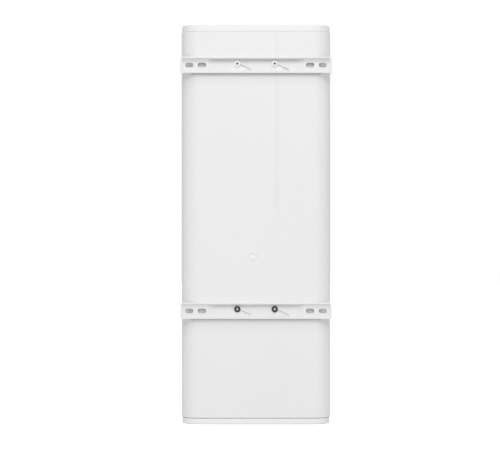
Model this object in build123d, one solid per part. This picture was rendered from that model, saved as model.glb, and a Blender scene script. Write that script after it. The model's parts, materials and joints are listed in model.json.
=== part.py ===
"""Slim wall-hung heat recovery ventilation unit, modelled in millimetres.

Frame: the origin is the middle of the wall-screw pattern, on the wall plane.
+X runs across the unit, +Y points from the wall into the room, +Z points up.
Heights marked "dz" are measured from the middle of the exchanger core, which is
also the middle of the casing, so the upper and lower halves mirror each other.
"""

import os
from math import atan2, cos, degrees, pi, radians, sin

from build123d import *

# ---------------------------------------------------------------- driving sizes
OVERALL_HEIGHT = 600.0
CASING_WIDTH = 225.0
CASING_DEPTH = 121.0
CORNER_RADIUS = 27.0
WALL = 3.0
CASING_EDGE_ROUND = 1.4
CAP_BAND = 9.7
CAP_INSET = 1.0
TOP_SEAM = 0.25  # open joints between the casing's ends and the caps
BOTTOM_SEAM = 0.5
TOP_EDGE_ROUND = 0.7
BOTTOM_EDGE_ROUND = 2.0
STANDOFF = 8.0  # wall plane to the casing's rear face
SLOT_HEIGHT = 171.0  # lower wall slots above the unit's underside
SLOT_RISE = 368.0  # lower slots to upper slots
FLOW_LINE_XS = (29.0, 33.4)  # faint moulded lines on the upper rear face
FLOW_LINE_WIDTH = 0.8
FLOW_LINE_DEPTH = 0.25

BRACKET_LENGTH = 227.0
BRACKET_HEIGHT = 24.0
BRACKET_END_RIM = 3.2
BRACKET_EDGE_ROUND = 0.5
BRACKET_SCREW_RISE = 2.4  # screws above the bracket's centre line
BRACKET_SCREW_X = 28.0
BRACKET_SCREW_R = 2.0
SCREW_HEAD_R = 4.9
SCREW_HEAD_HEIGHT = 3.0
SLOT_XS = (81.0, 100.0)
SLOT_LENGTH = 12.6
SLOT_WIDTH = 7.0
PAD_RECESS = 1.75
PAD_THICKNESS = 2.4
WEB_RECESS = 5.9
PAD_START_X = 72.0
WEB_END_X = 60.0
RIM_TOP = 1.4
RIM_TOP_ROOT = 4.4
RIM_BOTTOM = 2.2
RIM_BOTTOM_ROOT = 4.6
GUSSET_START = (5.0, -1.4)  # ends of the gusset's upper edge, from the screw
GUSSET_END = (21.5, -8.6)
GUSSET_DEPTH = 1.7

DUCT_X = 50.0
DUCT_BORE_R = 40.25  # takes an 80 mm duct spigot
DUCT_WALL = 2.75
SOCKET_DEPTH = 34.0
SEAL_GROOVE = 1.4
COLUMN_R = 5.0
PILOT_R = 1.7

CORE_HALF_WIDTH = 75.0
CORE_TIP_DZ = 137.5
CORE_SHOULDER_DZ = 62.5
CORE_PLATES = 22
PLATE_THICKNESS = 0.8
CORE_SHEET = 1.5
LINER_END_DZ = 266.0
CHAMBER_END_DZ = 258.0
CHAMBER_X = (9.0, 99.0)
CHAMBER_Y = (22.0, 112.0)

FILTER_X = (-78.0, -8.0)
FILTER_DZ = (198.0, 224.0)
FILTER_GAP = 0.4
FAN_X = 50.0
SHELF_DZ = (158.0, 168.0)  # the foam shelf that carries a fan's inlet ring
INLET_R = 32.0
MOUNT_ROOM_DZ = (213.5, 219.5)  # pockets for the rubber mounts of a motor
IMPELLER_R = 36.0
IMPELLER_EYE_R = 24.0
IMPELLER_BLADES = 7

PANEL_HALF_WIDTH = 86.0
PANEL_HALF_HEIGHT = 262.0
PANEL_DEPTH = 8.0
PANEL_WALL = 3.0
PANEL_SCREW_X = 70.0
PANEL_SCREW_DZ = 250.0
OPENING_HALF_WIDTH = 80.0
OPENING_HALF_HEIGHT = 240.0
BUTTON_XS = (-26.0, 0.0, 26.0)
BUTTON_DZ = -6.0
BUTTON_R = 6.0
LIGHT_DZ = 9.0
CABLE_WAY_DZ = (-248.0, -236.0)

# ------------------------------------------------------------ worked-out places
BOTTOM_Z = -(SLOT_HEIGHT + SLOT_RISE / 2)
MID_Z = BOTTOM_Z + OVERALL_HEIGHT / 2
REAR_Y = STANDOFF
FRONT_Y = REAR_Y + CASING_DEPTH
CENTRE_Y = (REAR_Y + FRONT_Y) / 2
INNER_REAR_Y = REAR_Y + WALL
INNER_FRONT_Y = FRONT_Y - WALL
CASING_HALF_HEIGHT = OVERALL_HEIGHT / 2 - CAP_BAND
CAP_TOP_DZ = OVERALL_HEIGHT / 2
SOCKET_END_DZ = CAP_TOP_DZ - SOCKET_DEPTH
COLUMN_X = CASING_WIDTH / 2 - 13.0
COLUMN_YS = (REAR_Y + 13.0, FRONT_Y - 13.0)
PANEL_FACE_Y = FRONT_Y + PANEL_DEPTH
PANEL_BACK_Y = PANEL_FACE_Y - PANEL_WALL
BRACKET_DZS = (SLOT_RISE / 2 - MID_Z, -SLOT_RISE / 2 - MID_Z)
SCREW_DZS = [dz + BRACKET_SCREW_RISE for dz in BRACKET_DZS]
PLUG_X = -4.8
PLUG_DZ = -50.8
PLUG_RECESS = 0.9
DRAIN_Y = 40.0
GLAND_Y = 98.0
INSERT_R = 3.0
PANEL_SCREW_R = 1.5
POCKET_R = 12.5
POCKET_DEPTH = 17.0
SPIGOT_R = 7.0
SPIGOT_BORE_R = 4.5
GUTTER_FLOOR_DZ = -(CORE_TIP_DZ + 18.0)
CORE_Y = (CHAMBER_Y[0] + 0.6, CHAMBER_Y[1] - 0.6)

ACROSS_Y = Rotation(90, 0, 0)  # turns a sketch into the XZ plane, extruding to -Y


# ------------------------------------------------------------------ small tools
def span(x, y, dz):
    """A box between two x, two y and two dz values."""
    size = (x[1] - x[0], y[1] - y[0], dz[1] - dz[0])
    centre = ((x[0] + x[1]) / 2, (y[0] + y[1]) / 2, (dz[0] + dz[1]) / 2)
    return Pos(*centre) * Box(*size)


def upright(radius, x, y, dz):
    """A round bar along Z between two dz values."""
    middle = (dz[0] + dz[1]) / 2
    return Pos(x, y, middle) * Cylinder(radius, dz[1] - dz[0])


def level(radius, x, dz, y):
    """A round bar along Y between two y values."""
    middle = (y[0] + y[1]) / 2
    return Pos(x, middle, dz) * Rotation(90, 0, 0) * Cylinder(radius, y[1] - y[0])


def tube(outer, inner, x, y, dz):
    """A round tube along Z."""
    return upright(outer, x, y, dz) - upright(inner, x, y, dz)


def rounded(width, depth, radius, dz):
    """A rounded-rectangle prism about the casing's axis."""
    sketch = RectangleRounded(width, depth, radius)
    return Pos(0, CENTRE_Y, dz[0]) * extrude(sketch, dz[1] - dz[0])


def slab(sketch, y):
    """A sketch drawn in X and dz, extruded between two y values."""
    return Pos(0, y[1], 0) * ACROSS_Y * extrude(sketch, y[1] - y[0])


def polygon(points):
    """A flat face through the points."""
    return make_face(Polyline(*points, close=True))


def hex_bar(across_flats, x, y, dz):
    """A hexagonal bar along Z."""
    sketch = RegularPolygon(across_flats / 2, 6, major_radius=False)
    return Pos(x, y, dz[0]) * extrude(sketch, dz[1] - dz[0])


def both_ends(shape):
    """A shape and its copy mirrored about the core's mid-plane."""
    return shape + mirror(shape, Plane.XY)


def group(shapes):
    """Separate solids kept together in one node."""
    return Compound([solid for shape in shapes for solid in shape.solids()])


def save(shape, name):
    """Move a shape from dz heights to the unit's frame and write it."""
    placed = Pos(0, 0, MID_Z) * shape
    placed.label = name
    export_step(placed, f"parts/{name}.step")


# ----------------------------------------------------------------------- casing
def corner_places():
    """The x and y of the four screw columns."""
    return [(x, y) for x in (-COLUMN_X, COLUMN_X) for y in COLUMN_YS]


def casing_outline(inset, dz):
    """A prism whose sides lie the given distance inside the casing's outside."""
    return rounded(
        CASING_WIDTH - 2 * inset,
        CASING_DEPTH - 2 * inset,
        CORNER_RADIUS - inset,
        dz,
    )


def panel_screw_places():
    """The x and dz of the four screws that hold the front panel."""
    ends = (-PANEL_SCREW_DZ, PANEL_SCREW_DZ)
    return [(x, dz) for x in (-PANEL_SCREW_X, PANEL_SCREW_X) for dz in ends]


def bracket_screw_places():
    """The x and dz of the four screws that hold the two wall brackets."""
    return [(x, dz) for dz in SCREW_DZS for x in (-BRACKET_SCREW_X, BRACKET_SCREW_X)]


def flow_lines():
    """Cuts for two faint upright lines, from the top down to mid height."""
    half = FLOW_LINE_WIDTH / 2
    y = (REAR_Y - 1, REAR_Y + FLOW_LINE_DEPTH)
    first, second = [span((x - half, x + half), y, (0, CASING_HALF_HEIGHT)) for x in FLOW_LINE_XS]
    return first + second


def casing_tube():
    ends = (-CASING_HALF_HEIGHT, CASING_HALF_HEIGHT)
    outside = casing_outline(0, ends)
    rims = outside.edges().group_by(Axis.Z)
    body = fillet(rims[0] + rims[-1], CASING_EDGE_ROUND) - casing_outline(WALL, ends)
    for x, y in corner_places():
        body += upright(COLUMN_R, x, y, ends) & casing_outline(CASING_EDGE_ROUND, ends)
        for end in ends:
            body -= upright(PILOT_R, x, y, (end - 18, end + 18))
    opening = RectangleRounded(2 * OPENING_HALF_WIDTH, 2 * OPENING_HALF_HEIGHT, 8)
    body -= slab(opening, (INNER_FRONT_Y - 2, FRONT_Y + 2))
    for x, dz in bracket_screw_places():
        body += level(5.5, x, dz, (INNER_REAR_Y - 1, INNER_REAR_Y + 7))
        body -= level(INSERT_R, x, dz, (REAR_Y - 1, INNER_REAR_Y + 6))
    body -= level(8.0, PLUG_X, PLUG_DZ, (REAR_Y - 1, REAR_Y + PLUG_RECESS))
    body -= level(3.2, PLUG_X, PLUG_DZ, (REAR_Y - 1, INNER_REAR_Y + 1))
    for x, dz in panel_screw_places():
        body -= level(PANEL_SCREW_R, x, dz, (INNER_FRONT_Y - 1, FRONT_Y + 1))
    return body - flow_lines()


def duct_socket(x):
    """A push-in socket, solid where its bore and seal groove are cut later."""
    return upright(DUCT_BORE_R + DUCT_WALL, x, CENTRE_Y, (SOCKET_END_DZ, CAP_TOP_DZ - 1))


def socket_bore(x):
    """The bore, with the seal groove near its inner end."""
    bore = upright(DUCT_BORE_R, x, CENTRE_Y, (SOCKET_END_DZ - 1, CAP_TOP_DZ + 1))
    groove = upright(DUCT_BORE_R + SEAL_GROOVE, x, CENTRE_Y, seal_groove())
    return bore + groove


def seal_groove():
    return (SOCKET_END_DZ + 6, SOCKET_END_DZ + 11)


def cap_shell(edge_round, seam):
    """An upper end cap: a band with a lid, a locating ring and two sockets."""
    low = CASING_HALF_HEIGHT
    block = casing_outline(CAP_INSET, (low + seam, CAP_TOP_DZ))
    block = fillet(block.edges().group_by(Axis.Z)[-1], edge_round)
    hollow = casing_outline(CAP_INSET + WALL, (low - 1, CAP_TOP_DZ - WALL))
    ring = casing_outline(WALL + 0.3, (low - 8, CAP_TOP_DZ - 1.5))
    ring -= casing_outline(WALL + 2.5, (low - 9, CAP_TOP_DZ - WALL))
    body = block - hollow + ring
    for x, y in corner_places():
        body -= upright(COLUMN_R + 0.4, x, y, (low - 9, low))
        body += upright(COLUMN_R, x, y, (low, CAP_TOP_DZ - 1)) & casing_outline(WALL, (low, CAP_TOP_DZ))
        body -= upright(2.2, x, y, (low - 1, CAP_TOP_DZ + 1))
        body -= Pos(x, y, CAP_TOP_DZ - 1.2) * Cone(2.2, 4.6, 2.4 + 0.02)
    for x in (-DUCT_X, DUCT_X):
        body += duct_socket(x)
    for x in (-DUCT_X, DUCT_X):
        body -= socket_bore(x)
    return body


def top_cap():
    return cap_shell(TOP_EDGE_ROUND, TOP_SEAM)


def bottom_cap():
    """The lower cap also carries the drain spigot and the gland pocket."""
    body = cap_shell(BOTTOM_EDGE_ROUND, BOTTOM_SEAM)
    top = CAP_TOP_DZ
    floor = top - POCKET_DEPTH
    for y in (DRAIN_Y, GLAND_Y):
        body += upright(POCKET_R + 2, 0, y, (floor - 3, top - 1))
        body -= upright(POCKET_R, 0, y, (floor, top + 1))
    body += upright(SPIGOT_R, 0, DRAIN_Y, (floor - 1, top - 1))
    body += upright(4.0, 0, DRAIN_Y, (floor - 12, floor - 2))
    body -= upright(SPIGOT_BORE_R, 0, DRAIN_Y, (floor, top + 1))
    body -= upright(2.8, 0, DRAIN_Y, (floor - 13, floor + 1))
    body -= upright(6.1, 0, GLAND_Y, (floor - 4, floor + 1))
    return mirror(body, Plane.XY)


def duct_seals():
    """Rubber lip seals in the two socket grooves of an upper cap."""
    low, high = seal_groove()
    return group(
        tube(DUCT_BORE_R + SEAL_GROOVE, DUCT_BORE_R + 0.1, x, CENTRE_Y, (low + 0.1, high - 0.1))
        for x in (-DUCT_X, DUCT_X)
    )


def cap_screws():
    """Four countersunk screws through an upper cap into the casing's columns."""
    screws = []
    for x, y in corner_places():
        head = Pos(x, y, CAP_TOP_DZ - 1.25) * Cone(2.0, 4.3, 2.3)
        head -= hex_bar(2.5, x, y, (CAP_TOP_DZ - 1.6, CAP_TOP_DZ + 1))
        shank = upright(PILOT_R, x, y, (CASING_HALF_HEIGHT - 15, CAP_TOP_DZ - 1.6))
        screws.append(head + shank)
    return group(screws)


# ---------------------------------------------------------------- wall brackets
def gusset_pocket(x):
    """A wedge cut in the web, deepest along its slanted upper edge."""
    rise = GUSSET_END[1] - GUSSET_START[1]
    run = GUSSET_END[0] - GUSSET_START[0]
    slant = atan2(rise, run)
    length = run / cos(slant)
    width = 8.0
    side = polygon([(0, 0), (GUSSET_DEPTH, 0), (0, -width)])
    wedge = extrude(Plane.YZ * side, length)
    wedge -= span((length / 2 - 0.5, length / 2 + 0.5), (-1, GUSSET_DEPTH + 1), (-width, 1))
    turned = Rotation(0, -degrees(slant), 0) * wedge
    foot = -BRACKET_HEIGHT / 2 + RIM_BOTTOM_ROOT
    placed = Pos(x + GUSSET_START[0], WEB_RECESS, BRACKET_SCREW_RISE + GUSSET_START[1]) * turned
    return placed & span((x, x + 30), (0, STANDOFF), (foot, BRACKET_HEIGHT / 2))


def bracket_recess():
    """The stepped hollow of the wall side: shallow pads, deeper middle web."""
    end = BRACKET_LENGTH / 2 - BRACKET_END_RIM
    plan = polygon(
        [
            (-end, -1),
            (end, -1),
            (end, PAD_RECESS),
            (PAD_START_X, PAD_RECESS),
            (WEB_END_X, WEB_RECESS),
            (-WEB_END_X, WEB_RECESS),
            (-PAD_START_X, PAD_RECESS),
            (-end, PAD_RECESS),
        ]
    )
    return Pos(0, 0, -BRACKET_HEIGHT) * extrude(plan, 2 * BRACKET_HEIGHT)


def rim_window():
    """The room between the rims, whose inner faces slope towards the web."""
    top = BRACKET_HEIGHT / 2
    low = -BRACKET_HEIGHT / 2
    back = WEB_RECESS + 0.1
    side = polygon(
        [
            (-1, low + RIM_BOTTOM),
            (back, low + RIM_BOTTOM_ROOT),
            (back, top - RIM_TOP_ROOT),
            (-1, top - RIM_TOP),
        ]
    )
    return Pos(-BRACKET_LENGTH / 2, 0, 0) * extrude(Plane.YZ * side, BRACKET_LENGTH)


def wall_bracket():
    body = slab(RectangleRounded(BRACKET_LENGTH, BRACKET_HEIGHT, 2.0), (0, STANDOFF))
    body = fillet(body.edges().group_by(Axis.Y)[0], BRACKET_EDGE_ROUND)
    body -= bracket_recess() & rim_window()
    pad_back = PAD_RECESS + PAD_THICKNESS
    room = (-BRACKET_HEIGHT / 2 + RIM_BOTTOM, BRACKET_HEIGHT / 2 - RIM_TOP)
    for side in (-1, 1):
        ends = (side * (PAD_START_X + 2), side * (BRACKET_LENGTH / 2 - BRACKET_END_RIM))
        body -= span(sorted(ends), (pad_back, STANDOFF + 1), room)
        for x in SLOT_XS:
            slot = Pos(side * x, 0) * SlotOverall(SLOT_LENGTH, SLOT_WIDTH)
            body -= slab(slot, (-1, STANDOFF + 1))
    for x in (-BRACKET_SCREW_X, BRACKET_SCREW_X):
        body -= gusset_pocket(x)
        body -= level(BRACKET_SCREW_R + 0.2, x, BRACKET_SCREW_RISE, (-1, STANDOFF + 1))
        body -= level(SCREW_HEAD_R + 0.7, x, BRACKET_SCREW_RISE, (-1, WEB_RECESS))
    return body


def bracket_screws():
    """Two pan-head machine screws that hold a bracket to the casing."""
    screws = []
    top = WEB_RECESS - SCREW_HEAD_HEIGHT
    for x in (-BRACKET_SCREW_X, BRACKET_SCREW_X):
        head = level(SCREW_HEAD_R, x, BRACKET_SCREW_RISE, (top, WEB_RECESS))
        head = fillet(head.edges().group_by(Axis.Y)[0], 1.6)
        hexagon = RegularPolygon(1.5, 6, major_radius=False)
        socket = slab(Pos(x, BRACKET_SCREW_RISE) * hexagon, (top - 1, top + 1.7))
        ends = (WEB_RECESS - 0.5, INNER_REAR_Y + 5.5)
        shank = level(BRACKET_SCREW_R, x, BRACKET_SCREW_RISE, ends)
        screws.append(head - socket + shank)
    return group(screws)


def bracket_inserts():
    """Brass threaded inserts in the bosses behind the casing's rear wall."""
    inserts = []
    for x, dz in bracket_screw_places():
        sleeve = level(INSERT_R, x, dz, (REAR_Y + 1, INNER_REAR_Y + 5.9))
        inserts.append(sleeve - level(BRACKET_SCREW_R, x, dz, (REAR_Y, INNER_REAR_Y + 6)))
    return group(inserts)


def rear_blanking_plug():
    """A small domed plug that closes the rear cable entry."""
    dome_radius = 5.0
    rise = 1.3
    seat = REAR_Y + PLUG_RECESS
    crown = ThreePointArc((0, -rise), (dome_radius * 0.55, -rise * 0.72), (dome_radius, 0))
    profile = make_face([Line((0, 0), (0, -rise)), crown, Line((dome_radius, 0), (0, 0))])
    dome = Pos(PLUG_X, seat, PLUG_DZ) * revolve(profile, Axis.Y)
    stem = level(3.0, PLUG_X, PLUG_DZ, (seat - 0.3, INNER_REAR_Y + 2.5))
    barb = level(3.7, PLUG_X, PLUG_DZ, (INNER_REAR_Y, INNER_REAR_Y + 1.5))
    return dome + stem + barb


# ----------------------------------------------------------------------- liners
def core_outline(grow=0.0):
    """The hexagon of the exchanger core, with its corner columns of width."""
    w = CORE_HALF_WIDTH + grow
    s = CORE_SHOULDER_DZ + grow * 0.42
    t = CORE_TIP_DZ + grow * 1.42
    return polygon([(0, t), (w, s), (w, -s), (0, -t), (-w, -s), (-w, s)])


def chamber(side, low, high):
    """One air chamber, from the core's slanted face out to the duct."""
    near, far = CHAMBER_X
    slope = (CORE_TIP_DZ - CORE_SHOULDER_DZ) / CORE_HALF_WIDTH
    near_foot = CORE_TIP_DZ - slope * near
    outline = polygon(
        [
            (side * near, near_foot - 1.5),
            (side * near, high),
            (side * far, high),
            (side * far, low),
            (side * (CORE_HALF_WIDTH - 0.5), low),
        ]
    )
    return slab(outline, CHAMBER_Y)


def liner_block(y):
    """Foam filling the casing between two y values, clear of the columns."""
    ends = (-LINER_END_DZ, LINER_END_DZ)
    block = casing_outline(WALL + 0.3, ends)
    block &= span((-CASING_WIDTH, CASING_WIDTH), y, ends)
    for x, column_y in corner_places():
        block -= upright(COLUMN_R + 0.5, x, column_y, (ends[0] - 1, ends[1] + 1))
    return block


def filter_slot(grow, y):
    """The space swept by a filter cassette."""
    x = (FILTER_X[0] - grow, FILTER_X[1] + grow)
    return span(x, y, (FILTER_DZ[0] - grow, FILTER_DZ[1] + grow))


def upper_chambers():
    """Cuts for the upper half: filter shelf on the left, fan shelf on the right."""
    left = chamber(-1, CORE_SHOULDER_DZ, FILTER_DZ[0] - 6)
    left += span((-99, -9), CHAMBER_Y, (FILTER_DZ[1] + 6, CHAMBER_END_DZ))
    left += filter_slot(FILTER_GAP, (24.0, CHAMBER_Y[1] + 1))
    window = (FILTER_DZ[0] - 7, FILTER_DZ[1] + 7)
    left += span((FILTER_X[0] + 4, FILTER_X[1] - 4), (30, 106), window)
    left += filter_seal()
    right = chamber(1, CORE_SHOULDER_DZ, SHELF_DZ[0])
    right += span(CHAMBER_X, CHAMBER_Y, (SHELF_DZ[1], CHAMBER_END_DZ))
    right += upright(INLET_R, FAN_X, CENTRE_Y, (SHELF_DZ[0] - 1, SHELF_DZ[1] + 1))
    right += span((FAN_X - 7, FAN_X + 7), (18, CHAMBER_Y[1]), MOUNT_ROOM_DZ)
    duct_dz = (CHAMBER_END_DZ - 1, LINER_END_DZ + 1)
    ducts = upright(38.0, -DUCT_X, CENTRE_Y, duct_dz) + upright(38.0, DUCT_X, CENTRE_Y, duct_dz)
    return left + right + ducts


def rear_liner():
    body = liner_block((INNER_REAR_Y + 0.3, CHAMBER_Y[1]))
    body -= slab(core_outline(3.0), (CHAMBER_Y[0], CHAMBER_Y[1] + 1))
    body -= both_ends(upper_chambers())
    for x, dz in bracket_screw_places():
        body -= level(6.0, x, dz, (INNER_REAR_Y - 1, INNER_REAR_Y + 7.5))
    body -= level(6.0, PLUG_X, PLUG_DZ, (INNER_REAR_Y - 1, INNER_REAR_Y + 4))
    gutter_room = (GUTTER_FLOOR_DZ - 0.2, -CORE_TIP_DZ)
    body -= span((-14.4, 14.4), (CHAMBER_Y[0], CHAMBER_Y[1] + 1), gutter_room)
    body -= upright(6.0, 0, DRAIN_Y, (-LINER_END_DZ - 1, GUTTER_FLOOR_DZ + 1))
    body -= upright(6.0, 0, GLAND_Y, (-LINER_END_DZ - 1, CABLE_WAY_DZ[1]))
    return body - span((-6, 6), (GLAND_Y, CHAMBER_Y[1] + 1), CABLE_WAY_DZ)


def front_liner():
    front = 8.0
    body = liner_block((CHAMBER_Y[1] + 0.2, CHAMBER_Y[1] + front))
    body &= span((-94.5, 94.5), (CHAMBER_Y[1], FRONT_Y), (-LINER_END_DZ, LINER_END_DZ))
    reach = (CHAMBER_Y[1] - 1, CHAMBER_Y[1] + front + 1)
    body -= both_ends(filter_slot(FILTER_GAP, reach))
    return body - span((-6, 6), reach, CABLE_WAY_DZ)


# ------------------------------------------------------------------------- core
def core_plates():
    """The stack of thin exchanger plates, each a separate sheet."""
    outline = core_outline()
    low, high = CORE_Y[0] + CORE_SHEET, CORE_Y[1] - CORE_SHEET
    pitch = (high - low) / (CORE_PLATES + 1)
    plates = []
    for number in range(1, CORE_PLATES + 1):
        y = low + number * pitch
        plates.append(slab(outline, (y - PLATE_THICKNESS / 2, y + PLATE_THICKNESS / 2)))
    return group(plates)


def core_frame():
    """End sheets joined by angle rails along the core's six edges."""
    low, high = CORE_Y
    outer = core_outline(1.2)
    body = slab(outer, (low, low + CORE_SHEET)) + slab(outer, (high - CORE_SHEET, high))
    shell = slab(outer, CORE_Y) - slab(core_outline(), (low - 1, high + 1))
    side = CORE_SHOULDER_DZ + 9
    keep = span((-8, 8), CORE_Y, (CORE_TIP_DZ - 9, CORE_TIP_DZ + 3))
    keep += span((-8, 8), CORE_Y, (-CORE_TIP_DZ - 3, -CORE_TIP_DZ + 9))
    keep += span((-CORE_HALF_WIDTH - 3, -CORE_HALF_WIDTH + 9), CORE_Y, (-side, side))
    keep += span((CORE_HALF_WIDTH - 9, CORE_HALF_WIDTH + 3), CORE_Y, (-side, side))
    return body + (shell & keep)


def core_seals():
    """Soft strips between the core's four sealing edges and the foam."""
    strips = []
    for side in (-1, 1):
        x = sorted((side * (CORE_HALF_WIDTH + 1.2), side * (CORE_HALF_WIDTH + 3.0)))
        strips.append(span(x, CORE_Y, (-45, 45)))
    tip = slab(core_outline(2.8), CORE_Y) - slab(core_outline(1.3), CORE_Y)
    strips.append(tip & span((-7, 7), CORE_Y, (CORE_TIP_DZ - 10, CORE_TIP_DZ + 5)))
    between_walls = (CHAMBER_Y[0] + 2.6, CHAMBER_Y[1] - 2.6)
    strips.append(span((-3, 3), between_walls, (-CORE_TIP_DZ - 6.0, -CORE_TIP_DZ - 1.8)))
    return group(strips)


def condensate_gutter():
    """A shallow trough under the core's lower tip, with an outlet at the rear."""
    low = GUTTER_FLOOR_DZ
    top = -CORE_TIP_DZ - 2.4
    y = (CHAMBER_Y[0] + 0.3, CHAMBER_Y[1] - 0.3)
    body = span((-14, 14), y, (low, top))
    inside = span((-12, 12), (y[0] + 2, y[1] - 2), (low + 3, top + 1))
    body -= inside
    body += span((-2.0, 2.0), (y[0] + 26, y[1] - 1), (low + 2, -CORE_TIP_DZ - 6.0))
    body += upright(5.6, 0, DRAIN_Y, (low - 5, low + 1))
    body -= upright(4.0, 0, DRAIN_Y, (low - 6, low + 6))
    return body


def drain_tube():
    """The tube from the gutter's outlet down to the drain spigot."""
    low = -(CAP_TOP_DZ - POCKET_DEPTH - 3.0)
    return tube(5.6, 4.05, 0, DRAIN_Y, (low, GUTTER_FLOOR_DZ - 5))


# ------------------------------------------------------------------------- fans
HUB_DZ = (190.0, 192.5)
SHROUD_DZ = (170.0, 172.0)
CUP_DZ = (192.5, 209.0)
FLANGE_DZ = (210.5, 214.0)
BRACKET_DZ = (214.0, 219.0)
BAR_Y = (27.0, 107.0)
SHAFT_R = 2.0


def inlet_ring():
    """A bellmouth ring set in the foam shelf below the impeller."""
    ring = tube(INLET_R, 26.5, FAN_X, CENTRE_Y, (SHELF_DZ[0] + 0.2, SHELF_DZ[1] - 0.2))
    edge = ring.edges().filter_by(GeomType.CIRCLE).group_by(Axis.Z)[0]
    inner = edge.sort_by(SortBy.RADIUS)[0]
    return fillet(inner, 4.0)


def polar(radius, angle):
    """A point at a radius and an angle in degrees."""
    return (radius * cos(radians(angle)), radius * sin(radians(angle)))


def impeller_blade():
    """A backward-curved blade between the shroud and the hub disc."""
    thickness = 1.4
    lead = [polar(14.0, 0), polar(25.0, -17), polar(IMPELLER_R - 1.5, -50)]
    chord = atan2(lead[2][1] - lead[0][1], lead[2][0] - lead[0][0])
    shift = (-thickness * sin(chord), thickness * cos(chord))
    trail = [(x + shift[0], y + shift[1]) for x, y in reversed(lead)]
    edges = [
        ThreePointArc(*lead),
        Line(lead[2], trail[0]),
        ThreePointArc(*trail),
        Line(trail[2], lead[0]),
    ]
    low = SHROUD_DZ[0] + 0.5
    return Pos(0, 0, low) * extrude(make_face(edges), HUB_DZ[0] + 0.5 - low)


def impeller():
    disc = tube(IMPELLER_R, 8.0, 0, 0, HUB_DZ)
    shroud = tube(IMPELLER_R, IMPELLER_EYE_R, 0, 0, SHROUD_DZ)
    eye_lip = tube(IMPELLER_EYE_R + 1.5, IMPELLER_EYE_R, 0, 0, (168.5, SHROUD_DZ[1]))
    body = disc + shroud + eye_lip
    blade = impeller_blade()
    for number in range(IMPELLER_BLADES):
        body += Rotation(0, 0, 360 / IMPELLER_BLADES * number) * blade
    return Pos(FAN_X, CENTRE_Y, 0) * body


def rotor_cup():
    """The steel cup of the external-rotor motor with its magnet ring."""
    low, high = CUP_DZ
    cup = upright(20.0, FAN_X, CENTRE_Y, (low, high))
    cup = fillet(cup.edges().group_by(Axis.Z)[0], 2.0)
    cup -= upright(17.5, FAN_X, CENTRE_Y, (low + 2.5, high + 1))
    cup += tube(17.5, 16.5, FAN_X, CENTRE_Y, (low + 4, high - 1))
    return cup - upright(SHAFT_R, FAN_X, CENTRE_Y, (low - 1, low + 3))


def motor_shaft():
    return upright(SHAFT_R, FAN_X, CENTRE_Y, (CUP_DZ[0], FLANGE_DZ[0] + 1.0))


def motor_stator():
    """Wound stator pack on a bearing tube, closed by the motor flange."""
    body = tube(7.0, 5.0, FAN_X, CENTRE_Y, (CUP_DZ[0] + 3.5, FLANGE_DZ[0] + 1))
    body += tube(9.5, 6.9, FAN_X, CENTRE_Y, (CUP_DZ[0] + 5, CUP_DZ[1] - 2))
    for number in range(9):
        tooth = span((8.5, 15.6), (-1.6, 1.6), (CUP_DZ[0] + 5, CUP_DZ[1] - 2))
        body += Pos(FAN_X, CENTRE_Y, 0) * Rotation(0, 0, 40 * number) * tooth
    flange = upright(21.0, FAN_X, CENTRE_Y, FLANGE_DZ)
    flange -= upright(5.0, FAN_X, CENTRE_Y, (FLANGE_DZ[0] - 1, FLANGE_DZ[0] + 1.5))
    return body + flange


def motor_bearings():
    """Two ball bearings, each drawn as one ring between tube and shaft."""
    return group(
        tube(5.0, SHAFT_R + 0.03, FAN_X, CENTRE_Y, (low, low + 4))
        for low in (CUP_DZ[0] + 4, CUP_DZ[1] - 3)
    )


def motor_bracket():
    """A cross bar over the motor, its ends set in rubber mounts."""
    ring = tube(24.0, 14.0, FAN_X, CENTRE_Y, BRACKET_DZ)
    bar = span((FAN_X - 4, FAN_X + 4), BAR_Y, BRACKET_DZ)
    bar -= upright(20.0, FAN_X, CENTRE_Y, (BRACKET_DZ[0] - 1, BRACKET_DZ[1] + 1))
    body = ring + bar
    for x, y in motor_screw_places():
        body -= upright(1.6, x, y, (BRACKET_DZ[0] - 1, BRACKET_DZ[1] + 1))
    return body


def motor_screw_places():
    """Three screws on a 36 mm circle round the motor."""
    turns = [pi / 2 + 2 * pi / 3 * number for number in range(3)]
    return [(FAN_X + 18 * cos(a), CENTRE_Y + 18 * sin(a)) for a in turns]


def motor_screws():
    screws = []
    for x, y in motor_screw_places():
        head = upright(2.8, x, y, (BRACKET_DZ[1], BRACKET_DZ[1] + 2.2))
        head -= hex_bar(2.0, x, y, (BRACKET_DZ[1] + 1.0, BRACKET_DZ[1] + 3))
        screws.append(head + upright(1.6, x, y, (BRACKET_DZ[0], BRACKET_DZ[1] + 0.5)))
    return group(screws)


def rubber_mounts():
    """Two rubber blocks that carry the ends of the motor bracket."""
    blocks = []
    low, high = MOUNT_ROOM_DZ
    for y in ((18.5, 30.0), (104.0, 111.8)):
        block = span((FAN_X - 6.8, FAN_X + 6.8), y, (low + 0.2, high - 0.2))
        block -= span((FAN_X - 4, FAN_X + 4), BAR_Y, (low - 1, high + 1))
        blocks.append(block)
    return group(blocks)


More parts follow.
